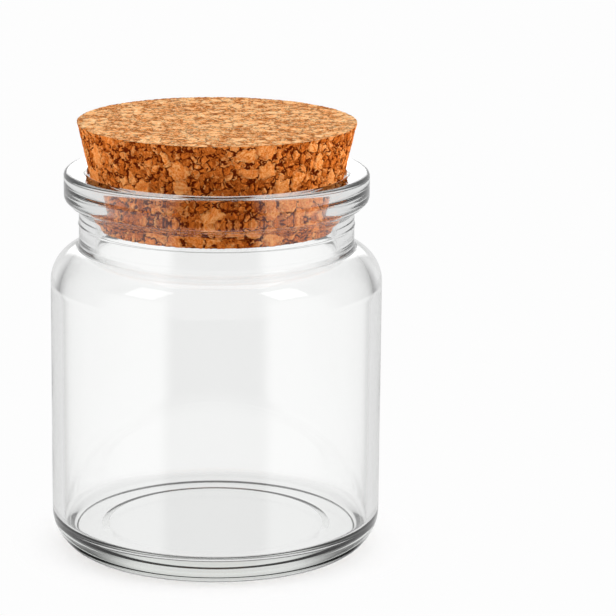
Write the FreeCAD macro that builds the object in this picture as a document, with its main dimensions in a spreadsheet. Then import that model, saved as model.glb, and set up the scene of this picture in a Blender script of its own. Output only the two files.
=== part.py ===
import FreeCAD, Part
import math
import os

import Sketcher

# A small storage jar of clear moulded glass, closed by a tapered stopper of pressed cork.
# The origin is at the centre of the base, on the surface that the jar stands on, and +Z is up.
# Sizes are in millimetres and angles in degrees.

SIZES = {
    # The body of the jar
    "jar_height": 64.7,
    "body_diameter": 56.0,
    "wall": 2.0,
    "base_thickness": 4.2,
    "floor_round": 1.8,
    # The rounded heel, and the ring that the jar stands on
    "heel_height": 6.1,
    "heel_inset": 3.6,
    "bearing_width": 0.5,
    # The push-up inside the ring: a low ledge, then a recessed panel
    "ledge_height": 0.45,
    "ledge_slant": 0.25,
    "ledge_width": 4.05,
    "panel_height": 0.95,
    "panel_slant": 1.2,
    # The shoulder and the neck
    "shoulder_height": 6.0,
    "shoulder_step": 4.8,
    "shoulder_wall": 1.5,
    "neck_height": 7.3,
    "neck_wall": 2.9,
    "neck_root_round": 0.8,
    "bore_round": 1.6,
    # The rim round the mouth
    "rim_height": 5.6,
    "rim_overhang": 2.5,
    "rim_top_round": 0.9,
    "rim_low_round": 1.6,
    "rim_root_round": 0.7,
    "lip_round": 1.5,
    # The tapered seat in the mouth, and the stopper that sits in it
    "seat_depth": 6.0,
    "seat_clearance": 0.1,
    "stopper_taper": 12.9,
    "stopper_height": 17.4,
    "insertion_depth": 9.2,
    "stopper_round": 0.4,
}

# Radii and heights that follow from the sizes above
AXIS = "0"
GROUND = "0"
BODY_RADIUS = "sizes.body_diameter / 2"
INNER_RADIUS = f"({BODY_RADIUS} - sizes.wall)"
NECK_RADIUS = f"({BODY_RADIUS} - sizes.shoulder_step)"
BORE_RADIUS = f"({NECK_RADIUS} - sizes.neck_wall)"
RIM_RADIUS = f"({NECK_RADIUS} + sizes.rim_overhang)"
FOOT_RADIUS = f"({BODY_RADIUS} - sizes.heel_inset)"
BEARING_INSIDE = f"({FOOT_RADIUS} - sizes.bearing_width)"
LEDGE_OUTSIDE = f"({BEARING_INSIDE} - sizes.ledge_slant)"
LEDGE_INSIDE = f"({LEDGE_OUTSIDE} - sizes.ledge_width)"
PANEL_RADIUS = f"({LEDGE_INSIDE} - sizes.panel_slant)"

FLOOR = "sizes.base_thickness"
RIM_TOP = "sizes.jar_height"
RIM_BOTTOM = f"({RIM_TOP} - sizes.rim_height)"
NECK_BOTTOM = f"({RIM_BOTTOM} - sizes.neck_height)"
WALL_TOP = f"({NECK_BOTTOM} - sizes.shoulder_height)"
BORE_BOTTOM = f"({NECK_BOTTOM} - sizes.shoulder_wall)"
INNER_WALL_TOP = f"({BORE_BOTTOM} - ({INNER_RADIUS} - {BORE_RADIUS}))"

TAPER = "tan(sizes.stopper_taper * 1 deg)"
SEAT_BOTTOM = f"({RIM_TOP} - sizes.seat_depth)"
MOUTH_RADIUS = f"({BORE_RADIUS} + sizes.seat_depth * {TAPER})"
STOPPER_AT_MOUTH = f"({MOUTH_RADIUS} - sizes.seat_clearance)"
STOPPER_LOW_RADIUS = f"({STOPPER_AT_MOUTH} - sizes.insertion_depth * {TAPER})"
STOPPER_TOP_RADIUS = f"({STOPPER_LOW_RADIUS} + sizes.stopper_height * {TAPER})"
STOPPER_BOTTOM = f"({RIM_TOP} - sizes.insertion_depth)"

# The kinds of edge in an outline: a straight line, an arc that carries on smoothly from the edge
# before it, and an arc that runs smoothly into the edge after it
LINE = "line"
ARC_FROM = "arc from"
ARC_INTO = "arc into"

# Each outline is a closed walk in the plane of the axis: the edge, and the radius and height
# of the point that it leads to.
JAR_OUTLINE = [
    (LINE, AXIS, GROUND),
    (LINE, FOOT_RADIUS, GROUND),
    (ARC_INTO, BODY_RADIUS, "sizes.heel_height"),
    (LINE, BODY_RADIUS, WALL_TOP),
    (ARC_FROM, NECK_RADIUS, NECK_BOTTOM),
    (LINE, NECK_RADIUS, RIM_BOTTOM),
    (LINE, RIM_RADIUS, RIM_BOTTOM),
    (LINE, RIM_RADIUS, RIM_TOP),
    (LINE, AXIS, RIM_TOP),
]
HOLLOW_OUTLINE = [
    (LINE, AXIS, FLOOR),
    (LINE, INNER_RADIUS, FLOOR),
    (LINE, INNER_RADIUS, INNER_WALL_TOP),
    (ARC_FROM, BORE_RADIUS, BORE_BOTTOM),
    (LINE, BORE_RADIUS, SEAT_BOTTOM),
    (LINE, MOUTH_RADIUS, RIM_TOP),
    (LINE, AXIS, RIM_TOP),
]
PUSH_UP_OUTLINE = [
    (LINE, AXIS, "sizes.panel_height"),
    (LINE, PANEL_RADIUS, "sizes.panel_height"),
    (LINE, LEDGE_INSIDE, "sizes.ledge_height"),
    (LINE, LEDGE_OUTSIDE, "sizes.ledge_height"),
    (LINE, BEARING_INSIDE, GROUND),
    (LINE, AXIS, GROUND),
]
STOPPER_OUTLINE = [
    (LINE, AXIS, GROUND),
    (LINE, STOPPER_LOW_RADIUS, GROUND),
    (LINE, STOPPER_TOP_RADIUS, "sizes.stopper_height"),
    (LINE, AXIS, "sizes.stopper_height"),
]

# The rounded edges: the size that rounds each, and the radius and height of the edge
JAR_ROUNDS = [
    ("floor_round", INNER_RADIUS, FLOOR),
    ("neck_root_round", NECK_RADIUS, NECK_BOTTOM),
    ("bore_round", BORE_RADIUS, BORE_BOTTOM),
    ("rim_root_round", NECK_RADIUS, RIM_BOTTOM),
    ("rim_low_round", RIM_RADIUS, RIM_BOTTOM),
    ("rim_top_round", RIM_RADIUS, RIM_TOP),
    ("lip_round", MOUTH_RADIUS, RIM_TOP),
]
STOPPER_ROUNDS = [
    ("stopper_round", STOPPER_LOW_RADIUS, GROUND),
    ("stopper_round", STOPPER_TOP_RADIUS, "sizes.stopper_height"),
]

ORIGIN = (-1, 1)
AXIS_LINE = -2
GROUND_LINE = -1
START = 1
END = 2
CLOSE = 1e-4
FULL_TURN = 360


def make_sheet(doc):
    """Put every driving size into a sheet, under its own name."""
    sheet = doc.addObject("Spreadsheet::Sheet", "sizes")
    for row, (name, value) in enumerate(SIZES.items(), start=1):
        sheet.set(f"A{row}", name)
        sheet.set(f"B{row}", str(value))
        sheet.setAlias(f"B{row}", name)
    doc.recompute()
    return sheet


def size_of(sheet, expression):
    """Work out an expression of the sheet's sizes as a plain number."""
    return float(sheet.evalExpression(expression))


def arc_between(start, heading, end):
    """Draw the arc that sets off from start along heading and passes through end."""
    chord = end - start
    turn = heading.getAngle(chord)
    side = heading - chord * (heading.dot(chord) / chord.dot(chord))
    side.normalize()
    middle = (start + end) / 2 + side * (chord.Length / 2 * math.tan(turn / 2))
    return Part.Arc(start, middle, end)


def end_at(sketch, edge, spot):
    """Tell which end of an edge of the sketch lies on a spot."""
    at_start = (sketch.getPoint(edge, START) - spot).Length < CLOSE
    return START if at_start else END


def place_point(sketch, edge, end, axis_line, kind, expression, value):
    """Tie one coordinate of an edge's end to the sheet, or to an axis where it is zero."""
    if value == 0:
        sketch.addConstraint(Sketcher.Constraint("PointOnObject", edge, end, axis_line))
        return
    tie = Sketcher.Constraint(kind, *ORIGIN, edge, end, value)
    sketch.setExpression(f"Constraints[{sketch.addConstraint(tie)}]", expression)


def draw_outline(body, sheet, name, outline):
    """Draw a closed outline on the upright plane, with every corner tied to the sheet."""
    sketch = body.newObject("Sketcher::SketchObject", name)
    plane = next(item for item in body.Origin.OriginFeatures if item.Role == "XZ_Plane")
    sketch.AttachmentSupport = [(plane, "")]
    sketch.MapMode = "FlatFace"

    spots = [FreeCAD.Vector(size_of(sheet, r), size_of(sheet, z), 0) for _, r, z in outline]
    for edge, (kind, _, _) in enumerate(outline):
        start, end = spots[edge - 1], spots[edge]
        if kind == LINE:
            sketch.addGeometry(Part.LineSegment(start, end))
        elif kind == ARC_FROM:
            sketch.addGeometry(arc_between(start, start - spots[edge - 2], end))
        else:
            sketch.addGeometry(arc_between(end, end - spots[edge + 1], start))

    for edge, (kind, radius, height) in enumerate(outline):
        before = (edge - 1) % len(outline)
        smooth = kind == ARC_FROM or outline[before][0] == ARC_INTO
        meeting = "Tangent" if smooth else "Coincident"
        joint = spots[before]
        ends = (before, end_at(sketch, before, joint), edge, end_at(sketch, edge, joint))
        sketch.addConstraint(Sketcher.Constraint(meeting, *ends))
        end = end_at(sketch, edge, spots[edge])
        place_point(sketch, edge, end, AXIS_LINE, "DistanceX", radius, spots[edge].x)
        place_point(sketch, edge, end, GROUND_LINE, "DistanceY", height, spots[edge].y)
    return sketch


def turn_outline(body, sketch, kind, name):
    """Turn an outline about the axis, to add its solid or to cut it away."""
    feature = body.newObject(f"PartDesign::{kind}", name)
    feature.Profile = sketch
    feature.ReferenceAxis = (sketch, ["V_Axis"])
    feature.Angle = FULL_TURN
    body.Document.recompute()
    return feature


def cut_outline(body, sheet, outline, name):
    """Cut a turned outline out of the body, and make sure that it took material away."""
    before = body.Shape.Volume
    sketch = draw_outline(body, sheet, f"{name}_outline", outline)
    turn_outline(body, sketch, "Groove", name)
    if body.Shape.Volume >= before:
        raise RuntimeError(f"{name} cut nothing")


def ring_edges(shape, radius, height):
    """Name the ring-shaped edges of a shape at a radius and a height."""
    names = []
    for number, edge in enumerate(shape.Edges, start=1):
        if edge.Degenerated or not isinstance(edge.Curve, Part.Circle):
            continue
        curve = edge.Curve
        if abs(curve.Radius - radius) < CLOSE and abs(curve.Center.z - height) < CLOSE:
            names.append(f"Edge{number}")
    return names


def round_edges(body, sheet, rounds):
    """Round the body's ring-shaped edges, one after another."""
    for size, radius, height in rounds:
        base = body.Tip
        edges = ring_edges(base.Shape, size_of(sheet, radius), size_of(sheet, height))
        fillet = body.newObject("PartDesign::Fillet", size)
        fillet.Base = (base, edges)
        fillet.setExpression("Radius", f"sizes.{size}")
        body.Document.recompute()


def make_jar(doc, sheet):
    """The moulded glass: body, shoulder, neck and rim, hollow inside and dished underneath."""
    body = doc.addObject("PartDesign::Body", "glass_jar")
    body.Label = "glass_jar"
    outline = draw_outline(body, sheet, "jar_outline", JAR_OUTLINE)
    turn_outline(body, outline, "Revolution", "jar_form")
    cut_outline(body, sheet, HOLLOW_OUTLINE, "hollow")
    cut_outline(body, sheet, PUSH_UP_OUTLINE, "push_up")
    round_edges(body, sheet, JAR_ROUNDS)
    return body


def make_stopper(doc, sheet):
    """The cork: a tapered plug, drawn with its small end on the ground, then set into the mouth."""
    body = doc.addObject("PartDesign::Body", "cork_stopper")
    body.Label = "cork_stopper"
    outline = draw_outline(body, sheet, "stopper_outline", STOPPER_OUTLINE)
    turn_outline(body, outline, "Revolution", "stopper_form")
    round_edges(body, sheet, STOPPER_ROUNDS)
    body.setExpression("Placement.Base.z", STOPPER_BOTTOM)
    doc.recompute()
    return body


def check_document(doc, bodies):
    """Stop if anything in the document failed, or a sub-part is not one sound solid."""
    for item in doc.Objects:
        if "Invalid" in item.State or "Error" in item.State:
            raise RuntimeError(f"{item.Label} failed: {item.State}")
    for body in bodies:
        if body.Shape.isNull() or not body.Shape.isValid() or len(body.Shape.Solids) != 1:
            raise RuntimeError(f"{body.Label} is not one sound solid")


def main():
    """Build the jar and its stopper, check them and write one file for each."""
    doc = FreeCAD.newDocument("cork_stoppered_jar")
    sheet = make_sheet(doc)
    bodies = [make_jar(doc, sheet), make_stopper(doc, sheet)]
    doc.recompute()
    check_document(doc, bodies)
    os.makedirs("parts", exist_ok=True)
    for body in bodies:
        body.Shape.exportStep(f"parts/{body.Label}.step")
        print(f"{body.Label}: {body.Shape.Volume:.1f} mm3")


main()
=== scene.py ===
"""Looks for a small storage jar of clear moulded glass, closed by a stopper of pressed cork."""

import logging
import math
from collections.abc import Mapping, Sequence
from dataclasses import dataclass
from enum import Enum

import bmesh
import bpy
from mathutils import Matrix, Vector


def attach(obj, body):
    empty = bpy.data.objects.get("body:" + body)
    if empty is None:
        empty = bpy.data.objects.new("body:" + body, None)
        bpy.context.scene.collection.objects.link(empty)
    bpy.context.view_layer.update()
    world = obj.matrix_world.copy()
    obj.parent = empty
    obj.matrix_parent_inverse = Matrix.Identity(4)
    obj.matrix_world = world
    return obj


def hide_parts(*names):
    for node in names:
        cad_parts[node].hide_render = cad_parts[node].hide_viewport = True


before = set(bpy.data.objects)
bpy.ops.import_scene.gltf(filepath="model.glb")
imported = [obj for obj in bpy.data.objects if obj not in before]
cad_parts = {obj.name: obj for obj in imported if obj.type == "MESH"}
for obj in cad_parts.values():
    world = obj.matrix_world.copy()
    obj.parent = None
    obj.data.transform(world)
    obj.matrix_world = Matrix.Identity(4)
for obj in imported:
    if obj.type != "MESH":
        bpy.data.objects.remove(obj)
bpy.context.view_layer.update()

MM = 0.001
SAME_PLACE = 1e-7
NOISE_MIDDLE = 0.5
LOG = logging.getLogger("jar")

Colour = tuple[float, float, float]
Spot = tuple[float, float]
Span = tuple[float, float]
Place = tuple[float, float, float]
Material = bpy.types.Material
Node = bpy.types.Node
Socket = bpy.types.NodeSocket
Feed = Socket | float | str | tuple[float, ...]
Size = float | Material


class Body(Enum):
    """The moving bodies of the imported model."""

    JAR = "jar"
    STOPPER = "stopper"


class Mixed(Enum):
    """What a mix is made of."""

    COLOURS = "RGBA"
    NUMBERS = "FLOAT"


class CellPart(Enum):
    """What a distance in a cell is measured from."""

    MIDDLE = "F1"
    EDGE = "DISTANCE_TO_EDGE"


class InputKind(Enum):
    """What an input of a shape tree holds."""

    GEOMETRY = "NodeSocketGeometry"
    NUMBER = "NodeSocketFloat"
    COUNT = "NodeSocketInt"
    MATERIAL = "NodeSocketMaterial"


class NodeSheet:
    """A node tree with short ways to add nodes and to join them."""

    def __init__(self, tree: bpy.types.NodeTree) -> None:
        """Take over a tree."""
        self.tree = tree

    def feed(self, socket: Socket, value: Feed) -> None:
        """Join a socket to another one, or set it to a plain value.

        Args:
            socket: The input.
            value: What goes into it, a socket or a plain value.
        """
        if isinstance(value, Socket):
            self.tree.links.new(value, socket)
        else:
            socket.default_value = value

    def add(self, kind: str, feeds: dict[str, Feed] | None = None, **options: object) -> Node:
        """Add one node.

        Args:
            kind: The node's type.
            feeds: What goes into each named input.
            **options: The node's own settings.

        Returns:
            The new node.
        """
        node = self.tree.nodes.new(kind)
        for name, option in options.items():
            setattr(node, name, option)
        for name, value in (feeds or {}).items():
            self.feed(next(s for s in node.inputs if s.name == name and s.enabled), value)
        return node

    def result(self, node: Node) -> Socket:
        """Find the output that a node's settings leave in use."""
        return next(s for s in node.outputs if s.enabled)

    def math_node(self, kind: str, operation: str, terms: Sequence[Feed]) -> Node:
        """Add a math node and feed its inputs in order.

        Args:
            kind: The node's type.
            operation: What it works out.
            terms: What it works with.

        Returns:
            The new node.
        """
        node = self.add(kind, operation=operation)
        for socket, term in zip(node.inputs, terms):
            self.feed(socket, term)
        return node

    def math(self, operation: str, *terms: Feed) -> Socket:
        """Work out one number from others."""
        return self.math_node("ShaderNodeMath", operation, terms).outputs[0]

    def vector(self, operation: str, *terms: Feed) -> Socket:
        """Work out one vector from others."""
        return self.math_node("ShaderNodeVectorMath", operation, terms).outputs["Vector"]

    def scaled(self, vector: Feed, scale: Feed) -> Socket:
        """Stretch a vector by a number."""
        feeds = {"Vector": vector, "Scale": scale}
        return self.add("ShaderNodeVectorMath", feeds, operation="SCALE").outputs["Vector"]

    def length(self, vector: Feed) -> Socket:
        """Measure a vector."""
        return self.math_node("ShaderNodeVectorMath", "LENGTH", (vector,)).outputs["Value"]

    def split(self, vector: Feed) -> Sequence[Socket]:
        """Take a vector apart."""
        return self.add("ShaderNodeSeparateXYZ", {"Vector": vector}).outputs

    def joined(self, x: Feed, y: Feed, z: Feed) -> Socket:
        """Put a vector together."""
        return self.add("ShaderNodeCombineXYZ", {"X": x, "Y": y, "Z": z}).outputs["Vector"]

    def ramp(self, value: Feed, low: Feed, high: Feed, start: Feed = 0.0, end: Feed = 1.0) -> Socket:
        """Ease a number from start to end while it goes from low to high.

        Args:
            value: The number.
            low: Where the ease starts.
            high: Where the ease ends.
            start: The result at low.
            end: The result at high.

        Returns:
            The eased number.
        """
        feeds = {"Value": value, "From Min": low, "From Max": high, "To Min": start, "To Max": end}
        node = self.add("ShaderNodeMapRange", feeds, interpolation_type="SMOOTHSTEP")
        return node.outputs["Result"]

    def mix(self, share: Feed, first: Feed, second: Feed, kind: Mixed = Mixed.COLOURS) -> Socket:
        """Mix two colours or two numbers.

        Args:
            share: How much of the second one to take.
            first: The first one.
            second: The second one.
            kind: What they are.

        Returns:
            The mix.
        """
        feeds = {"Factor": share, "A": first, "B": second}
        return self.result(self.add("ShaderNodeMix", feeds, data_type=kind.value))

    def blend(self, share: Feed, first: Node, second: Node) -> Node:
        """Blend two shaders.

        Args:
            share: How much of the second one to take.
            first: The first shader's node.
            second: The second shader's node.

        Returns:
            The blend's node.
        """
        node = self.add("ShaderNodeMixShader", {"Fac": share})
        self.feed(node.inputs[1], first.outputs[0])
        self.feed(node.inputs[2], second.outputs[0])
        return node

    def noise(self, place: Feed, size: float, detail: float, roughness: float = 0.5) -> Node:
        """Add noise with features of about one size.

        Args:
            place: Where it is read.
            size: The size of its features, in metres.
            detail: How many finer layers it has.
            roughness: How strong the finer layers are.

        Returns:
            The noise node.
        """
        feeds = {"Vector": place, "Scale": 1 / size, "Detail": detail, "Roughness": roughness}
        return self.add("ShaderNodeTexNoise", feeds)

    def swing(self, noise: Socket, strength: Feed) -> Socket:
        """Let noise swing about zero with some strength."""
        return self.math("MULTIPLY", self.math("SUBTRACT", noise, NOISE_MIDDLE), strength)

    def cells(self, place: Feed, size: float, part: CellPart = CellPart.MIDDLE) -> Node:
        """Fill space with cells of about one size."""
        feeds = {"Vector": place, "Scale": 1 / size}
        return self.add("ShaderNodeTexVoronoi", feeds, feature=part.value)


def new_material(name: str) -> tuple[Material, NodeSheet, Node]:
    """Start an empty material.

    Args:
        name: The material's name.

    Returns:
        The material, its node sheet and its output node.
    """
    material = bpy.data.materials.new(name)
    material.use_nodes = True
    material.node_tree.nodes.clear()
    sheet = NodeSheet(material.node_tree)
    return material, sheet, sheet.add("ShaderNodeOutputMaterial")


def new_object(name: str, data: bpy.types.ID) -> bpy.types.Object:
    """Put a new object into the scene.

    Args:
        name: The object's name.
        data: Its mesh, lamp or camera.

    Returns:
        The object.
    """
    thing = bpy.data.objects.new(name, data)
    bpy.context.scene.collection.objects.link(thing)
    return thing


class ShapeTree:
    """A Geometry Nodes tree with named inputs, run once to give a plain mesh."""

    def __init__(self, name: str) -> None:
        """Start a tree that takes in a mesh and gives one back.

        Args:
            name: The tree's name.
        """
        self.tree = bpy.data.node_groups.new(name, "GeometryNodeTree")
        self.sheet = NodeSheet(self.tree)
        for way in ("INPUT", "OUTPUT"):
            self.tree.interface.new_socket("Geometry", in_out=way, socket_type=InputKind.GEOMETRY.value)
        self.source = self.sheet.add("NodeGroupInput")
        self.values: dict[str, Size] = {}

    def size(self, name: str, value: Size, kind: InputKind = InputKind.NUMBER) -> Socket:
        """Add one named input.

        Args:
            name: The input's name.
            value: What the modifier sets it to.
            kind: What it holds.

        Returns:
            The input's socket inside the tree.
        """
        socket = self.tree.interface.new_socket(name, in_out="INPUT", socket_type=kind.value)
        self.values[socket.identifier] = value
        return self.source.outputs[name]

    def finish(self, geometry: Socket, material: Material) -> None:
        """Close the tree: smooth the shape, make every copy real and give it its material.

        Args:
            geometry: The finished shape.
            material: What the tree's material input is set to.
        """
        dress = self.size("Material", material, InputKind.MATERIAL)
        smooth = self.sheet.add("GeometryNodeSetShadeSmooth", {"Geometry": geometry}).outputs[0]
        real = self.sheet.add("GeometryNodeRealizeInstances", {"Geometry": smooth}).outputs[0]
        dressed = self.sheet.add("GeometryNodeSetMaterial", {"Geometry": real, "Material": dress})
        self.sheet.add("NodeGroupOutput", {"Geometry": dressed.outputs[0]})

    def run(self, name: str, source: bpy.types.Mesh) -> bpy.types.Object:
        """Run the tree on a mesh.

        Args:
            name: The finished piece's name.
            source: The mesh that the tree starts from.

        Returns:
            An object with a plain mesh and no modifier.
        """
        piece = new_object(name, source)
        modifier = piece.modifiers.new("shape", "NODES")
        modifier.node_group = self.tree
        for identifier, value in self.values.items():
            modifier[identifier] = value
        graph = bpy.context.evaluated_depsgraph_get()
        mesh = bpy.data.meshes.new_from_object(piece.evaluated_get(graph))
        piece.modifiers.clear()
        piece.data = mesh
        mesh.name = name
        return piece


def face_outwards(mesh: bpy.types.Mesh) -> None:
    """Turn every face of a closed mesh outwards.

    Args:
        mesh: The mesh, which is changed in place.
    """
    work = bmesh.new()
    work.from_mesh(mesh)
    bmesh.ops.recalc_face_normals(work, faces=work.faces)
    work.to_mesh(mesh)
    work.free()


class Profile:
    """An outline of radius and height, walked from the axis outwards and back to the axis."""

    GUARD = 0.2 * MM
    SHORTEST_GUARDED = 3 * GUARD
    TURN_STEP = math.radians(4)
    FEWEST_STEPS = 6

    def __init__(self, start: Spot) -> None:
        """Set off from a spot."""
        self.spots: list[Spot] = [start]

    def line_to(self, end: Spot) -> None:
        """Go straight to a spot, with a guard spot near each end that keeps the run flat.

        Args:
            end: The spot.
        """
        start = Vector(self.spots[-1])
        run = Vector(end) - start
        if run.length > self.SHORTEST_GUARDED:
            step = run.normalized() * self.GUARD
            self.spots += [tuple(start + step), tuple(Vector(end) - step)]
        self.spots.append(end)

    def arc_about(self, centre: Spot, radius: float, start: float, end: float) -> None:
        """Go round a centre.

        Args:
            centre: The centre.
            radius: How far from it to stay.
            start: Where to start, in degrees from the outward direction.
            end: Where to end, in degrees from the outward direction.
        """
        turn = math.radians(end - start)
        steps = max(self.FEWEST_STEPS, round(abs(turn) / self.TURN_STEP))
        for step in range(steps + 1):
            angle = math.radians(start) + turn * step / steps
            self.spots.append(
                (centre[0] + radius * math.cos(angle), centre[1] + radius * math.sin(angle))
            )

    def round_to(self, corner: Spot, after: Spot, radius: float) -> None:
        """Go straight towards a corner and round it, ready to go on to the spot after it.

        Args:
            corner: The sharp corner.
            after: The next spot beyond it.
            radius: The radius of the round.
        """
        back = (Vector(self.spots[-1]) - Vector(corner)).normalized()
        on = (Vector(after) - Vector(corner)).normalized()
        half = back.angle(on) / 2
        centre = Vector(corner) + (back + on).normalized() * (radius / math.sin(half))
        first = Vector(corner) + back * (radius / math.tan(half))
        last = Vector(corner) + on * (radius / math.tan(half))
        self.line_to(tuple(first))
        begin = math.degrees(math.atan2(*reversed(first - centre)))
        turn = math.degrees((first - centre).angle_signed(last - centre))
        self.arc_about(tuple(centre), radius, begin, begin - turn)

    def mesh(self, name: str) -> bpy.types.Mesh:
        """Give the outline as a chain of edges in the upright plane.

        Args:
            name: The mesh's name.

        Returns:
            The chain, with repeated spots left out.
        """
        chain = [self.spots[0]]
        for spot in self.spots[1:]:
            if math.dist(spot, chain[-1]) > SAME_PLACE:
                chain.append(spot)
        mesh = bpy.data.meshes.new(name)
        places = [(radius, 0.0, height) for radius, height in chain]
        mesh.from_pydata(places, [(n, n + 1) for n in range(len(places) - 1)], [])
        return mesh


@dataclass(frozen=True)
class ClearGlass:
    """Colourless container glass, a little uneven from its mould, and faintly green in depth."""

    ior: float = 1.52
    colour: Colour = (0.998, 1.0, 0.998)
    depth_colour: Colour = (0.66, 0.71, 0.64)
    depth_density: float = 8.0
    wave_size: float = 14 * MM
    wave_strength: float = 0.02
    smudge_size: float = 28 * MM
    smudge_spread: Span = (0.45, 0.8)
    smudge_roughness: float = 0.008
    shadow_clearness: float = 0.9
    edge_clearness: float = 0.8
    edge_spread: Span = (0.5, 1.0)

    def material(self) -> Material:
        """Make the material.

        Returns:
            A clear material with a mould's slow ripple, faint depth colour and a pale shadow.
        """
        material, sheet, output = new_material("clear_glass")
        place = sheet.add("ShaderNodeTexCoord").outputs["Object"]
        ripple = sheet.noise(place, self.wave_size, detail=1.0).outputs[0]
        bump = sheet.add(
            "ShaderNodeBump",
            {"Height": ripple, "Strength": self.wave_strength, "Distance": MM},
        )
        smudge = sheet.noise(place, self.smudge_size, detail=4.0).outputs[0]
        shader = sheet.add(
            "ShaderNodeBsdfPrincipled",
            {
                "Base Color": (*self.colour, 1.0),
                "Roughness": sheet.ramp(smudge, *self.smudge_spread, 0.0, self.smudge_roughness),
                "IOR": self.ior,
                "Transmission Weight": 1.0,
                "Normal": bump.outputs[0],
            },
        )
        depth = sheet.add(
            "ShaderNodeVolumeAbsorption",
            {"Color": (*self.depth_colour, 1.0), "Density": self.depth_density},
        )
        facing = sheet.add("ShaderNodeLayerWeight").outputs["Facing"]
        pale = sheet.ramp(facing, *self.edge_spread, self.shadow_clearness, self.edge_clearness)
        clear = sheet.add("ShaderNodeBsdfTransparent", {"Color": sheet.joined(pale, pale, pale)})
        shadow = sheet.add("ShaderNodeLightPath").outputs["Is Shadow Ray"]
        sheet.feed(output.inputs["Surface"], sheet.blend(shadow, shader, clear).outputs[0])
        sheet.feed(output.inputs["Volume"], depth.outputs[0])
        return material


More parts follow.
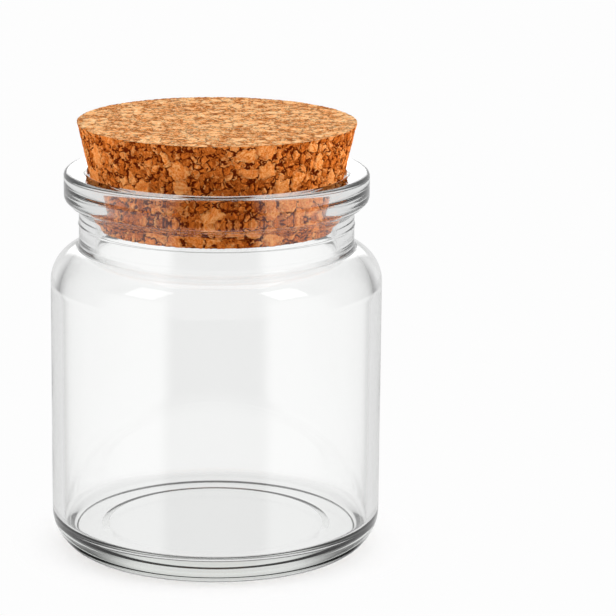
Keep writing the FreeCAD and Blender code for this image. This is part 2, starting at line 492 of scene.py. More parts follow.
@dataclass
class GlassJar:
    """The moulded glass: body, shoulder, neck and rim, hollow inside and dished underneath."""

    height: float = 64.7 * MM
    body_radius: float = 27.98 * MM
    wall: float = 2.0 * MM
    base_thickness: float = 4.2 * MM
    floor_round: float = 1.8 * MM
    heel_height: float = 6.1 * MM
    heel_inset: float = 3.6 * MM
    bearing_width: float = 0.5 * MM
    ledge_height: float = 0.45 * MM
    ledge_slant: float = 0.25 * MM
    ledge_width: float = 4.05 * MM
    ledge_round: float = 0.1 * MM
    panel_height: float = 0.95 * MM
    panel_slant: float = 1.2 * MM
    panel_round: float = 0.3 * MM
    shoulder_height: float = 6.0 * MM
    shoulder_step: float = 4.8 * MM
    shoulder_wall: float = 1.5 * MM
    neck_height: float = 7.3 * MM
    neck_wall: float = 2.9 * MM
    neck_root_round: float = 0.8 * MM
    seam_height: float = 55.7 * MM
    seam_width: float = 0.2 * MM
    seam_swell: float = 0.12 * MM
    bore_round: float = 2.4 * MM
    rim_height: float = 5.6 * MM
    rim_overhang: float = 2.5 * MM
    rim_top_round: float = 0.9 * MM
    rim_low_round: float = 1.6 * MM
    rim_root_round: float = 1.5 * MM
    lip_round: float = 1.5 * MM
    seat_depth: float = 6.0 * MM
    seat_taper: float = 12.9
    segments: int = 336
    finish: ClearGlass = ClearGlass()

    @property
    def neck_radius(self) -> float:
        """The outside of the neck."""
        return self.body_radius - self.shoulder_step

    @property
    def bore_radius(self) -> float:
        """The inside of the neck."""
        return self.neck_radius - self.neck_wall

    @property
    def mouth_radius(self) -> float:
        """The top of the tapered seat."""
        return self.bore_radius + self.seat_depth * math.tan(math.radians(self.seat_taper))

    @property
    def neck_bottom(self) -> float:
        """Where the shoulder meets the neck."""
        return self.height - self.rim_height - self.neck_height

    def walk_underside(self, walk: Profile) -> None:
        """Walk from the middle of the recessed panel over its ledge and the bearing ring to the wall.

        Args:
            walk: The outline so far.
        """
        foot = self.body_radius - self.heel_inset
        ring = foot - self.bearing_width
        ledge_out = ring - self.ledge_slant
        ledge_in = ledge_out - self.ledge_width
        panel = ledge_in - self.panel_slant
        walk.round_to((panel, self.panel_height), (ledge_in, self.ledge_height), self.panel_round)
        walk.round_to((ledge_in, self.ledge_height), (ledge_out, self.ledge_height), self.panel_round)
        walk.round_to((ledge_out, self.ledge_height), (ring, 0.0), self.ledge_round)
        walk.round_to((ring, 0.0), (foot, 0.0), self.ledge_round)
        walk.line_to((foot, 0.0))
        heel = (self.heel_inset**2 + self.heel_height**2) / (2 * self.heel_inset)
        lean = math.degrees(math.asin(self.heel_height / heel))
        walk.arc_about((self.body_radius - heel, self.heel_height), heel, -lean, 0)

    def walk_outside(self, walk: Profile) -> None:
        """Walk up the wall, over the shoulder and the neck to the rim.

        Args:
            walk: The outline so far.
        """
        wall_top = self.neck_bottom - self.shoulder_height
        walk.line_to((self.body_radius, wall_top))
        shoulder = (self.shoulder_step**2 + self.shoulder_height**2) / (2 * self.shoulder_step)
        self.arc_into_neck(walk, (self.body_radius - shoulder, wall_top), shoulder)
        for rise, swell in ((-self.seam_width, 0.0), (0.0, self.seam_swell), (self.seam_width, 0.0)):
            walk.line_to((self.neck_radius + swell, self.seam_height + rise))
        rim_bottom = self.height - self.rim_height
        rim_radius = self.neck_radius + self.rim_overhang
        walk.round_to((self.neck_radius, rim_bottom), (rim_radius, rim_bottom), self.rim_root_round)
        walk.round_to((rim_radius, rim_bottom), (rim_radius, self.height), self.rim_low_round)
        walk.round_to((rim_radius, self.height), (self.mouth_radius, self.height), self.rim_top_round)

    def arc_into_neck(self, walk: Profile, centre: Spot, radius: float) -> None:
        """Follow the shoulder's arc up to the neck and round the corner where they meet.

        Args:
            walk: The outline so far.
            centre: The arc's centre.
            radius: The arc's radius.
        """
        root = self.neck_radius + self.neck_root_round
        across = root - centre[0]
        rise = math.sqrt((radius + self.neck_root_round) ** 2 - across**2)
        meet = math.degrees(math.atan2(rise, across))
        walk.arc_about(centre, radius, 0, meet)
        walk.arc_about((root, centre[1] + rise), self.neck_root_round, meet + 180, 180)

    def walk_inside(self, walk: Profile) -> None:
        """Walk from the lip down the mouth and the hollow to the middle of the floor.

        Args:
            walk: The outline so far.
        """
        seat_bottom = (self.bore_radius, self.height - self.seat_depth)
        walk.round_to((self.mouth_radius, self.height), seat_bottom, self.lip_round)
        walk.line_to(seat_bottom)

        inner = self.body_radius - self.wall
        sweep = inner - self.bore_radius
        centre = (self.bore_radius, self.neck_bottom - self.shoulder_wall - sweep)
        rise = math.sqrt((sweep + self.bore_round) ** 2 - self.bore_round**2)
        meet = math.degrees(math.atan2(rise, self.bore_round))
        edge = (self.bore_radius + self.bore_round, centre[1] + rise)
        walk.line_to((self.bore_radius, centre[1] + rise))
        walk.arc_about(edge, self.bore_round, 180, meet + 180)
        walk.arc_about(centre, sweep, meet, 0)
        walk.round_to((inner, self.base_thickness), (0.0, self.base_thickness), self.floor_round)
        walk.line_to((0.0, self.base_thickness))

    def turning_tree(self) -> ShapeTree:
        """Make the tree that turns an outline about the axis.

        Returns:
            The tree, with its number of segments and its material as inputs.
        """
        shape = ShapeTree("turned_glass")
        sheet = shape.sheet
        segments = shape.size("Segments", self.segments, InputKind.COUNT)
        outline = shape.source.outputs["Geometry"]
        spots = sheet.add("GeometryNodeAttributeDomainSize", {"Geometry": outline}).outputs[0]
        grid = sheet.add(
            "GeometryNodeMeshGrid",
            {"Vertices X": sheet.math("ADD", segments, 1), "Vertices Y": spots},
        )
        index = sheet.add("GeometryNodeInputIndex").outputs[0]
        turn = sheet.math("FLOOR", sheet.math("DIVIDE", index, spots))
        angle = sheet.math("DIVIDE", sheet.math("MULTIPLY", turn, math.tau), segments)
        spot = sheet.add(
            "GeometryNodeSampleIndex",
            {
                "Geometry": outline,
                "Value": sheet.add("GeometryNodeInputPosition").outputs[0],
                "Index": sheet.math("MODULO", index, spots),
            },
            data_type="FLOAT_VECTOR",
        )
        radius, _, height = sheet.split(sheet.result(spot))
        place = sheet.joined(
            sheet.math("MULTIPLY", radius, sheet.math("COSINE", angle)),
            sheet.math("MULTIPLY", radius, sheet.math("SINE", angle)),
            height,
        )
        turned = sheet.add("GeometryNodeSetPosition", {"Geometry": grid.outputs[0], "Position": place})
        closed = sheet.add(
            "GeometryNodeMergeByDistance", {"Geometry": turned.outputs[0], "Distance": SAME_PLACE}
        )
        shape.finish(closed.outputs[0], self.finish.material())
        return shape

    def build(self) -> bpy.types.Object:
        """Make the glass and set it on its body.

        Returns:
            The finished piece.
        """
        walk = Profile((0.0, self.panel_height))
        self.walk_underside(walk)
        self.walk_outside(walk)
        self.walk_inside(walk)
        piece = self.turning_tree().run("jar_glass", walk.mesh("jar_outline"))
        face_outwards(piece.data)
        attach(piece, Body.JAR.value)
        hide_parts("glass_jar")
        return piece


@dataclass(frozen=True)
class GrainFields:
    """What the grains are like at a place, as node sockets."""

    seam: Socket
    crack: Socket
    identity: Socket
    pit: Socket

    def faded(self, sheet: NodeSheet, share: Socket, other: "GrainFields") -> "GrainFields":
        """Fade over to other grains.

        Args:
            sheet: The tree.
            share: How much of the other grains to take.
            other: The other grains.

        Returns:
            The grains in between.
        """
        return GrainFields(
            sheet.mix(share, self.seam, other.seam, Mixed.NUMBERS),
            sheet.mix(share, self.crack, other.crack, Mixed.NUMBERS),
            sheet.mix(share, self.identity, other.identity),
            sheet.mix(share, self.pit, other.pit, Mixed.NUMBERS),
        )


@dataclass(frozen=True)
class CorkGrain:
    """How the grains of pressed cork lie: coarse grains, some of them crumbled into finer ones."""

    coarse_size: float = 2.8 * MM
    fine_size: float = 1.35 * MM
    crumbled_share: float = 0.65
    warp: float = 0.6 * MM
    warp_size: float = 1.9 * MM
    ragged: float = 0.5 * MM
    ragged_size: float = 0.8 * MM
    crack_width: float = 0.18 * MM
    crack_size: float = 1.1 * MM
    crack_spread: Span = (0.43, 0.61)
    crack_floor: float = 0.4
    pit_spacing: float = 2.6 * MM
    pit_radius: float = 0.5 * MM
    pit_smallest: float = 0.3
    pit_floor: float = 0.35
    pit_share: float = 0.3

    def bend(self, sheet: NodeSheet, place: Socket) -> Socket:
        """Push places about, so that the grains get ragged outlines.

        Args:
            sheet: The tree.
            place: The place.

        Returns:
            The place that it is pushed to.
        """
        for amount, size in ((self.warp, self.warp_size), (self.ragged, self.ragged_size)):
            wander = sheet.noise(place, size, detail=1.0).outputs["Color"]
            shift = sheet.vector("SUBTRACT", wander, (NOISE_MIDDLE,) * 3)
            place = sheet.vector("ADD", place, sheet.scaled(shift, 2 * amount))
        return place

    def seam(self, sheet: NodeSheet, place: Socket, size: float) -> Socket:
        """Measure how far a place is from the edge of its grain, in metres."""
        edge = sheet.cells(place, size, CellPart.EDGE).outputs["Distance"]
        return sheet.math("MULTIPLY", edge, size)

    def pit(self, sheet: NodeSheet, place: Socket) -> Socket:
        """Scatter open pits.

        Args:
            sheet: The tree.
            place: The place.

        Returns:
            How deep in a pit the place lies, from 0 outside to 1 on its floor.
        """
        cell = sheet.cells(place, self.pit_spacing)
        chance, width, _ = sheet.split(cell.outputs["Color"])
        share = sheet.ramp(width, 0.0, 1.0, self.pit_smallest, 1.0)
        reach = sheet.math("MULTIPLY", share, self.pit_radius)
        off = sheet.math("MULTIPLY", cell.outputs["Distance"], self.pit_spacing)
        hollow = sheet.ramp(off, sheet.math("MULTIPLY", reach, self.pit_floor), reach, 1.0, 0.0)
        return sheet.math("MULTIPLY", hollow, sheet.math("LESS_THAN", chance, self.pit_share))

    def lay(self, sheet: NodeSheet, place: Socket) -> GrainFields:
        """Lay the grains out in a node tree, alike for the shape and for the colour.

        Args:
            sheet: The tree.
            place: Where the grains are read.

        Returns:
            The distance to the nearest seam in metres, how open the seam is, the grain's own
            random colour, and how deep in a pit the place lies.
        """
        bent = self.bend(sheet, place)
        coarse = sheet.cells(bent, self.coarse_size).outputs["Color"]
        fine = sheet.cells(bent, self.fine_size).outputs["Color"]
        coarse_seam = self.seam(sheet, bent, self.coarse_size)
        fine_seam = self.seam(sheet, bent, self.fine_size)
        crumbled = sheet.math("LESS_THAN", sheet.split(coarse)[0], self.crumbled_share)
        nearest = sheet.math("MINIMUM", coarse_seam, fine_seam)
        seam = sheet.mix(crumbled, coarse_seam, nearest, Mixed.NUMBERS)
        gape = sheet.noise(place, self.crack_size, detail=2.0).outputs[0]
        width = sheet.ramp(gape, *self.crack_spread, 0.0, self.crack_width)
        crack = sheet.ramp(seam, sheet.math("MULTIPLY", width, self.crack_floor), width, 1.0, 0.0)
        return GrainFields(seam, crack, sheet.mix(crumbled, coarse, fine), self.pit(sheet, bent))


@dataclass(frozen=True)
class PressedCork:
    """Cork grains pressed and glued into a block: browns by the grain, with dark seams, and painted
    shade in the seams, pits and grain edges.
    """

    grain: CorkGrain = CorkGrain()
    cut_grain: CorkGrain = CorkGrain(
        coarse_size=1.9 * MM,
        fine_size=1.05 * MM,
        warp=0.4 * MM,
        ragged=0.3 * MM,
        ragged_size=0.6 * MM,
        crack_width=0.2 * MM,
        crack_size=0.8 * MM,
        pit_spacing=1.6 * MM,
        pit_radius=0.3 * MM,
    )
    side_tones: tuple[Colour, ...] = (
        (0.30, 0.045, 0.003), (0.64, 0.150, 0.018), (0.86, 0.235, 0.038), (1.0, 0.45, 0.15)
    )
    cut_tones: tuple[Colour, ...] = (
        (0.36, 0.08, 0.008), (0.85, 0.31, 0.09), (1.0, 0.49, 0.185), (1.0, 0.67, 0.36)
    )
    tone_range: Span = (0.28, 0.82)
    # The dark of the seams, also used as painted shade in the pits and round the grain edges.
    seam_and_shade_colour: Colour = (0.13, 0.015, 0.001)
    cut_seam_shade: float = 0.6
    edge_shade: float = 0.2
    edge_width: float = 0.3 * MM
    speck_size: float = 0.6 * MM
    speck_strength: Span = (0.7, 2.6)
    streak_size: float = 0.42 * MM
    streak_strength: Span = (0.7, 2.0)
    streak_spread: Span = (0.2, 0.9)
    streak_turn: float = 40.0
    streak_stretch: Place = (1.0, 1.0, 0.2)
    fleck_size: float = 0.22 * MM
    fleck_strength: float = 1.3
    fleck_spread: Span = (0.3, 0.7)
    roughness: Span = (0.72, 0.92)
    gloss: float = 0.02
    relief: float = 1.0
    relief_depth: float = 0.35 * MM
    fleck_relief: float = 0.5
    streak_relief: float = 0.4
    grain_relief: float = 0.6

    def tones(self, sheet: NodeSheet, share: Socket, colours: Sequence[Colour]) -> Socket:
        """Spread a row of colours over a number from 0 to 1.

        Args:
            sheet: The material's node sheet.
            share: The number.
            colours: The colours in order.

        Returns:
            The colour.
        """
        node = sheet.add("ShaderNodeValToRGB", {"Fac": share})
        stops = node.color_ramp.elements
        while len(stops) < len(colours):
            stops.new(0.5)
        for number, colour in enumerate(colours):
            stops[number].position = number / (len(colours) - 1)
            stops[number].color = (*colour, 1.0)
        return node.outputs["Color"]

    def streaks(self, sheet: NodeSheet, place: Socket, identity: Socket) -> Socket:
        """Draw fine parallel streaks that lie their own way in each grain.

        Args:
            sheet: The material's node sheet.
            place: The place.
            identity: The grain's own random colour.

        Returns:
            The streaks, from 0 to 1.
        """
        spin = sheet.math("MULTIPLY", sheet.split(identity)[2], self.streak_turn)
        turned = sheet.add(
            "ShaderNodeVectorRotate",
            {"Vector": place, "Axis": identity, "Angle": spin},
            rotation_type="AXIS_ANGLE",
        ).outputs[0]
        long = sheet.vector("MULTIPLY", turned, self.streak_stretch)
        return sheet.noise(long, self.streak_size, detail=3.0, roughness=0.6).outputs[0]

    def material(self) -> Material:
        """Make the material.

        Returns:
            A material that reads the stopper's own place and cut-face attributes.
        """
        material, sheet, output = new_material("pressed_cork")
        place = sheet.add("ShaderNodeAttribute", attribute_name="cork_place").outputs["Vector"]
        cut = sheet.add("ShaderNodeAttribute", attribute_name="cut_face").outputs["Fac"]
        grain = self.grain.lay(sheet, place).faded(sheet, cut, self.cut_grain.lay(sheet, place))
        tone, lean, _ = sheet.split(grain.identity)
        streak = self.streaks(sheet, place, grain.identity)
        fleck = sheet.noise(place, self.fleck_size, detail=3.0, roughness=0.65).outputs[0]
        speck = sheet.noise(place, self.speck_size, detail=4.0, roughness=0.7).outputs[0]

        lined = sheet.swing(streak, sheet.ramp(lean, *self.streak_spread, *self.streak_strength))
        flecked = sheet.swing(fleck, self.fleck_strength)
        specked = sheet.swing(speck, sheet.ramp(cut, 0.0, 1.0, *self.speck_strength))
        share = sheet.ramp(tone, 0.0, 1.0, *self.tone_range)
        share = sheet.math("ADD", share, sheet.math("ADD", lined, flecked))
        share = sheet.math("ADD", share, specked)
        side_colour = self.tones(sheet, share, self.side_tones)
        base = sheet.mix(cut, side_colour, self.tones(sheet, share, self.cut_tones))

        # Painted shade: grain edges, open seams and pits are darkened towards the seam colour. The
        # seams are partly dark joints; the rest is shade painted into the hollows and round the domed
        # grains, less so on the cut faces.
        edge = sheet.ramp(grain.seam, 0.0, self.edge_width, self.edge_shade, 0.0)
        shade = sheet.math("MAXIMUM", sheet.math("MAXIMUM", grain.crack, grain.pit), edge)
        shade = sheet.math("MULTIPLY", shade, sheet.ramp(cut, 0.0, 1.0, 1.0, self.cut_seam_shade))
        colour = sheet.mix(shade, base, (*self.seam_and_shade_colour, 1.0))

        dome = sheet.ramp(grain.seam, 0.0, self.edge_width)
        fleck_height = sheet.math("MULTIPLY", fleck, self.fleck_relief)
        rough = sheet.math("ADD", fleck_height, sheet.math("MULTIPLY", streak, self.streak_relief))
        height = sheet.math("ADD", rough, sheet.math("MULTIPLY", dome, self.grain_relief))
        bump = sheet.add(
            "ShaderNodeBump",
            {"Height": height, "Strength": self.relief, "Distance": self.relief_depth},
        )
        shader = sheet.add(
            "ShaderNodeBsdfPrincipled",
            {
                "Base Color": colour,
                "Roughness": sheet.ramp(fleck, *self.fleck_spread, *self.roughness),
                "Specular IOR Level": self.gloss,
                "Normal": bump.outputs[0],
            },
        )
        sheet.feed(output.inputs["Surface"], shader.outputs[0])
        return material


@dataclass
class CorkStopper:
    """The tapered cork plug, with its grains, seams and pits in its shape."""

    bottom: float = 55.5 * MM
    height: float = 17.4 * MM
    mouth_radius: float = 21.574 * MM
    insertion_depth: float = 9.2 * MM
    taper: float = 12.9
    dome_height: float = 0.06 * MM
    dome_width: float = 0.6 * MM
    crack_depth: float = 0.22 * MM
    grain_rise: float = 0.05 * MM
    pit_depth: float = 0.45 * MM
    end_band: float = 1.0 * MM
    end_share: float = 0.3
    cut_limit: float = 0.7
    cells_across: int = 156
    cells_high: int = 60
    finish: PressedCork = PressedCork()

    def plug_place(self, shape: ShapeTree, block: Socket) -> Socket:
        """Turn the places of a block into those of a round tapered plug.

        Args:
            shape: The tree.
            block: A place on a block that is 2 wide, 2 deep and 1 high, about its middle.

        Returns:
            The place on the plug, in metres.
        """
        sheet = shape.sheet
        slope = math.tan(math.radians(self.taper))
        low_radius = shape.size("Low Radius", self.mouth_radius - self.insertion_depth * slope)
        height = shape.size("Height", self.height)
        widening = sheet.math("MULTIPLY", height, shape.size("Taper", slope))
        bottom = shape.size("Bottom", self.bottom)

        x, y, z = sheet.split(block)
        wide = sheet.math("GREATER_THAN", sheet.math("ABSOLUTE", x), sheet.math("ABSOLUTE", y))
        reach = sheet.mix(wide, y, x, Mixed.NUMBERS)
        along = sheet.math("MULTIPLY", sheet.math("DIVIDE", y, x), math.pi / 4)
        across = sheet.math("MULTIPLY", sheet.math("DIVIDE", x, y), math.pi / 4)
        across = sheet.math("SUBTRACT", math.pi / 2, across)
        angle = sheet.mix(wide, across, along, Mixed.NUMBERS)
        level = sheet.math("ADD", z, 0.5)
        radius = sheet.math("ADD", low_radius, sheet.math("MULTIPLY", widening, level))
        spread = sheet.math("MULTIPLY", reach, radius)
        return sheet.joined(
            sheet.math("MULTIPLY", spread, sheet.math("COSINE", angle)),
            sheet.math("MULTIPLY", spread, sheet.math("SINE", angle)),
            sheet.math("ADD", bottom, sheet.math("MULTIPLY", height, level)),
        )

    def carving(self, shape: ShapeTree, place: Socket) -> Socket:
        """Work out how deep the grains, seams and pits go, less so near the plug's two ends.

        Args:
            shape: The tree.
            place: A place on the plug.

        Returns:
            The depth, in metres.
        """
        sheet = shape.sheet
        dome_height = shape.size("Dome Height", self.dome_height)
        crack_depth = shape.size("Crack Depth", self.crack_depth)
        grain_rise = shape.size("Grain Rise", self.grain_rise)
        pit_depth = shape.size("Pit Depth", self.pit_depth)

        grain = self.finish.grain.lay(sheet, place)
        edge = sheet.ramp(grain.seam, 0.0, self.dome_width, 1.0, 0.0)
        dome = sheet.math("MULTIPLY", edge, dome_height)
        low = sheet.math("MULTIPLY", sheet.split(grain.identity)[2], grain_rise)
        crack = sheet.math("MULTIPLY", grain.crack, crack_depth)
        hole = sheet.math("MAXIMUM", crack, sheet.math("MULTIPLY", grain.pit, pit_depth))
        depth = sheet.math("ADD", sheet.math("ADD", dome, low), hole)
        middle = sheet.math("SUBTRACT", sheet.split(place)[2], self.bottom + self.height / 2)
        inward = sheet.math("SUBTRACT", self.height / 2, sheet.math("ABSOLUTE", middle))
        share = sheet.ramp(inward, 0.0, self.end_band, self.end_share, 1.0)
        return sheet.math("MULTIPLY", depth, share)

    def plug_tree(self) -> ShapeTree:
        """Make the tree that shapes the plug and carves its grains.

        Returns:
            The tree, with its sizes and its material as inputs.
        """
        shape = ShapeTree("cork_plug")
        sheet = shape.sheet
        across = shape.size("Points Across", self.cells_across + 1, InputKind.COUNT)
        high = shape.size("Points High", self.cells_high + 1, InputKind.COUNT)
        block = sheet.add(
            "GeometryNodeMeshCube",
            {"Size": (2.0, 2.0, 1.0), "Vertices X": across, "Vertices Y": across, "Vertices Z": high},
        )
        here = sheet.add("GeometryNodeInputPosition").outputs[0]
        plug = sheet.add(
            "GeometryNodeSetPosition",
            {"Geometry": block.outputs[0], "Position": self.plug_place(shape, here)},
        )
        normal = sheet.add("GeometryNodeInputNormal").outputs[0]
        steep = sheet.math("ABSOLUTE", sheet.split(normal)[2])
        marked = sheet.add(
            "GeometryNodeStoreNamedAttribute",
            {"Geometry": plug.outputs[0], "Name": "cork_place", "Value": here},
            data_type="FLOAT_VECTOR",
            domain="POINT",
        )
        faced = sheet.add(
            "GeometryNodeStoreNamedAttribute",
            {
                "Geometry": marked.outputs[0],
                "Name": "cut_face",
                "Value": sheet.math("GREATER_THAN", steep, self.cut_limit),
            },
            data_type="FLOAT",
            domain="FACE",
        )
        inward = sheet.math("MULTIPLY", self.carving(shape, here), -1.0)
        carved = sheet.add(
            "GeometryNodeSetPosition",
            {"Geometry": faced.outputs[0], "Offset": sheet.scaled(normal, inward)},
        )
        shape.finish(carved.outputs[0], self.finish.material())
        return shape

    def build(self) -> bpy.types.Object:
        """Make the stopper and set it on its body.

        Returns:
            The finished piece.
        """
        piece = self.plug_tree().run("stopper_cork", bpy.data.meshes.new("cork_block"))
        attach(piece, Body.STOPPER.value)
        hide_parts("cork_stopper")
        return piece


@dataclass(frozen=True)
class Lamp:
    """A large soft lamp that looks at the jar."""

    name: str
    place: Place
    width: float
    height: float
    radiance: float
    mirrored: bool = True

    def build(self, target: Vector) -> None:
        """Hang the lamp.

        Args:
            target: What it is turned towards.
        """
        light = bpy.data.lights.new(self.name, "AREA")
        light.shape = "RECTANGLE"
        light.size = self.width
        light.size_y = self.height
        light.energy = self.radiance * math.pi * self.width * self.height
        lamp = new_object(self.name, light)
        lamp.location = self.place
        lamp.rotation_euler = (target - Vector(self.place)).to_track_quat("-Z", "Y").to_euler()
        lamp.visible_camera = False
        lamp.visible_glossy = self.mirrored
        lamp.visible_transmission = False


@dataclass
class Studio:
    """A plain white table with soft lamps, seen as the jar was photographed."""

    # The camera, fitted to the photograph
    camera_distance: float = 520.7 * MM
    camera_height: float = 167.2 * MM
    heading: float = 1.707
    pitch: float = 13.643
    roll: float = 0.602
    focal_pixels: float = 3159.0
    frame_pixels: float = 616.0
    sensor_width: float = 36.0
    nearest_seen: float = 10 * MM

    # The table, with zones by the distance from the jar's axis
    table_side: float = 8.0
    table_gap: float = 0.02 * MM
    table_colour: Colour = (0.95, 0.95, 0.95)
    background: float = 0.983
    plain_zone: Span = (23.5 * MM, 35 * MM)
    open_zone: Span = (26 * MM, 36 * MM)
    shade_start: Span = (24.5 * MM, 25.5 * MM)
    shade_end: Span = (27.5 * MM, 29.5 * MM)
    shade_depth: Span = (-12 * MM, -2 * MM)
    shade_glow: float = 0.05
    under_glow: float = 0.9

    # What the glass mirrors, with zones from the back at -1 to the front at 1
    panel_glow: float = 0.8
    panel_zone: Span = (0.74, 0.86)
    front_glow: float = 0.0
    edge_glow: float = 0.78
    edge_zone: Span = (0.28, 0.46)
    lip_glow: float = 3.0
    lip_zone: Span = (-0.98, -0.93)
    lip_rise: Span = (0.1, 0.18)
    panel_rise: Span = (0.3, 0.5)
    inner_rise: Span = (0.0, 0.1)

    # What shows through the glass
    through_glow: float = 1.0
    bar_glow: float = 0.65
    bar_start: Span = (-0.965, -0.90)
    bar_end: Span = (-0.7, -0.5)
    through_rise: Span = (0.0, 0.08)
    through_front: float = 0.85
    flag_glow: float = 0.1
    flag_zone: Span = (0.32, 0.68)

    # The room above, and the light that it gives
    room_glow: float = 0.9
    room_top: float = 0.8
    room_rise: Span = (0.1, 0.5)
    room_front: float = 0.03
    room_zone: Span = (-0.2, 0.2)
    room_light: float = 0.5
    inside_light: float = 1.5
    first_bounce: float = 0.5
    bounces: int = 24

    aim_height: float = 35 * MM
    lamps: tuple[Lamp, ...] = (
        Lamp("overhead_lamp", (0.0, 0.2, 1.2), 1.0, 1.0, 1.65),
        Lamp("left_lamp", (-0.64, -0.39, 0.73), 0.4, 0.5, 2.0),
        Lamp("right_lamp", (0.64, -0.39, 0.73), 0.4, 0.5, 2.4),
        Lamp("left_fill", (-1.0, 0.1, 0.15), 0.5, 0.6, 5.5, mirrored=False),
        Lamp("right_fill", (1.0, 0.1, 0.15), 0.5, 0.6, 9.0, mirrored=False),
    )

    def build_camera(self) -> None:
        """Set the camera up where the photograph was taken from."""
        lens = bpy.data.cameras.new("camera")
        lens.sensor_width = self.sensor_width
        lens.lens = lens.sensor_width * self.focal_pixels / self.frame_pixels
        lens.clip_start = self.nearest_seen
        camera = new_object("camera", lens)
        turn = Matrix.Rotation(-math.radians(self.heading), 4, "Z")
        tip = Matrix.Rotation(math.radians(90 - self.pitch), 4, "X")
        roll = Matrix.Rotation(math.radians(self.roll), 4, "Z")
        place = Matrix.Translation((0.0, -self.camera_distance, self.camera_height))
        camera.matrix_world = place @ turn @ tip @ roll
        bpy.context.scene.camera = camera

    def table_material(self) -> Material:
        """Make the table's white: lit near the jar, and plain white further off.

        Returns:
            The material. What the glass mirrors or bends finds a glow with a band of shade under
            the jar, and further off it passes through the table to the room.
        """
        material, sheet, output = new_material("white_table")
        place = sheet.add("ShaderNodeTexCoord").outputs["Object"]
        reach = sheet.length(place)
        path = sheet.add("ShaderNodeLightPath").outputs
        undiffused = sheet.math("LESS_THAN", path["Diffuse Depth"], self.first_bounce)
        bent = sheet.math("MULTIPLY", path["Is Glossy Ray"], undiffused)
        far = sheet.math("MULTIPLY", path["Is Camera Ray"], sheet.ramp(reach, *self.plain_zone))
        beyond = sheet.ramp(reach, *self.open_zone)
        lit = sheet.add("ShaderNodeBsdfDiffuse", {"Color": (*self.table_colour, 1.0)})
        plain = sheet.add("ShaderNodeEmission", {"Strength": self.background})
        shaded = sheet.ramp(sheet.split(place)[1], *self.shade_depth, self.shade_glow, self.under_glow)
        dimmer = sheet.ramp(reach, *self.shade_start, self.under_glow, shaded)
        glow = sheet.ramp(reach, *self.shade_end, dimmer, self.under_glow)
        under = sheet.add("ShaderNodeEmission", {"Strength": glow})
        open_to_room = sheet.add("ShaderNodeBsdfTransparent")
        seen = sheet.blend(far, lit, plain)
        glassy = sheet.blend(beyond, under, open_to_room)
        sheet.feed(output.inputs["Surface"], sheet.blend(bent, seen, glassy).outputs[0])
        return material

    def build_table(self) -> None:
        """Lay the table under the jar."""
        half = self.table_side / 2
        mesh = bpy.data.meshes.new("table")
        corners = [(-half, -half, 0.0), (half, -half, 0.0), (half, half, 0.0), (-half, half, 0.0)]
        mesh.from_pydata(corners, [], [(0, 1, 2, 3)])
        mesh.materials.append(self.table_material())
        table = new_object("table", mesh)
        table.location.z = -self.table_gap

    def mirrored_panels(self, sheet: NodeSheet, front: Socket, up: Socket) -> Socket:
        """Make what the glass mirrors low in the room.

        Args:
            sheet: The room's node sheet.
            front: How far to the front a direction points.
            up: How far up it points.

        Returns:
            The glow: dark about the camera, a bright panel on each side of it, and a brighter
            strip high at the back that lights the lip.
        """
        lip = sheet.ramp(up, *self.lip_rise, self.edge_glow, self.lip_glow)
        edge = sheet.ramp(front, *self.lip_zone, lip, self.edge_glow)
        panels = sheet.ramp(front, *self.panel_zone, self.panel_glow, self.front_glow)
        return sheet.ramp(front, *self.edge_zone, edge, panels)

    def white_around(self, sheet: NodeSheet, front: Socket) -> Socket:
        """Make what shows through the glass: white, with a dimmer bar on each side of the back."""
        bars = sheet.ramp(front, *self.bar_end, self.bar_glow, self.through_glow)
        return sheet.ramp(front, *self.bar_start, self.through_glow, bars)

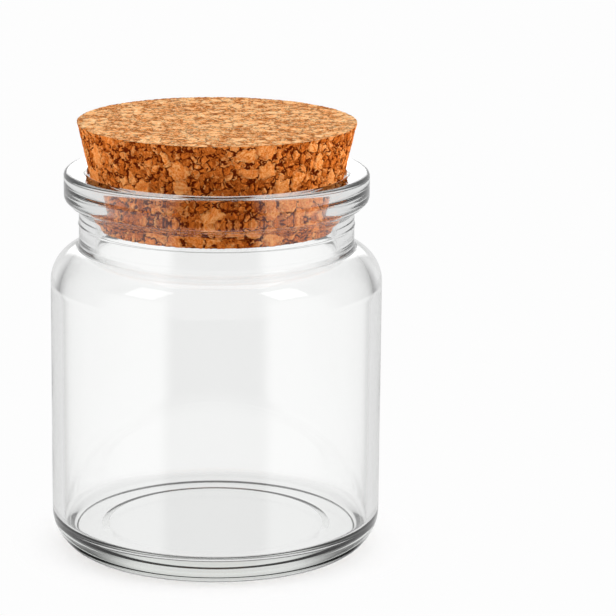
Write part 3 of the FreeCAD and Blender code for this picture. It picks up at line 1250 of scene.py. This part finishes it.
    def seen_in_glass(self, sheet: NodeSheet, path: Mapping[str, Socket]) -> Socket:
        """Make what the glass shows of the room, straight through it or mirrored and bent.

        Args:
            sheet: The room's node sheet.
            path: What is known of the ray.

        Returns:
            The glow.
        """
        side, back, up = sheet.split(sheet.add("ShaderNodeTexCoord").outputs["Generated"])
        level = sheet.length(sheet.joined(side, back, 0.0))
        front = sheet.math("DIVIDE", back, sheet.math("MULTIPLY", level, -1.0))
        above = sheet.ramp(up, *self.room_rise, self.room_glow, self.room_top)
        flagged = sheet.ramp(sheet.math("ABSOLUTE", side), *self.flag_zone, above, self.flag_glow)
        over = sheet.ramp(back, *self.room_zone, self.through_front, flagged)
        above = sheet.ramp(back, *self.room_zone, self.room_front, above)
        through = sheet.ramp(up, *self.through_rise, self.white_around(sheet, front), over)
        panels = self.mirrored_panels(sheet, front, up)
        outer = sheet.ramp(up, *self.panel_rise, panels, above)
        inner = sheet.ramp(up, *self.inner_rise, panels, over)
        inside = path["Is Transmission Ray"]
        mirrored = sheet.mix(inside, outer, inner, Mixed.NUMBERS)
        straight = sheet.math("LESS_THAN", path["Glossy Depth"], self.first_bounce)
        straight = sheet.math("MULTIPLY", inside, straight)
        return sheet.mix(straight, mirrored, through, Mixed.NUMBERS)

    def build_room(self) -> None:
        """Make the room: white to the camera, an even light, and what the glass shows of it."""
        world = bpy.data.worlds.new("room")
        world.use_nodes = True
        world.node_tree.nodes.clear()
        sheet = NodeSheet(world.node_tree)
        path = sheet.add("ShaderNodeLightPath").outputs
        lighting = sheet.math("GREATER_THAN", path["Diffuse Depth"], self.first_bounce)
        seen = self.seen_in_glass(sheet, path)
        bent = sheet.mix(lighting, seen, self.inside_light, Mixed.NUMBERS)
        glow = sheet.mix(path["Is Glossy Ray"], self.room_light, bent, Mixed.NUMBERS)
        light = sheet.mix(path["Is Camera Ray"], glow, self.background, Mixed.NUMBERS)
        sky = sheet.add("ShaderNodeBackground", {"Color": (1.0, 1.0, 1.0, 1.0), "Strength": light})
        sheet.add("ShaderNodeOutputWorld", {"Surface": sky.outputs[0]})
        bpy.context.scene.world = world

    def build(self) -> None:
        """Set up the whole studio."""
        self.build_camera()
        self.build_table()
        self.build_room()
        for lamp in self.lamps:
            lamp.build(Vector((0.0, 0.0, self.aim_height)))
        bpy.context.scene.view_settings.view_transform = "Standard"
        bpy.context.scene.cycles.max_bounces = self.bounces
        bpy.context.scene.cycles.transmission_bounces = self.bounces


def main() -> None:
    """Build the studio, the glass and the cork, and report each piece."""
    logging.basicConfig(level=logging.INFO, format="%(name)s: %(message)s")
    Studio().build()
    for part in (GlassJar(), CorkStopper()):
        piece = part.build()
        LOG.info("%s has %d faces", piece.name, len(piece.data.polygons))


if __name__ == "__main__":
    main()
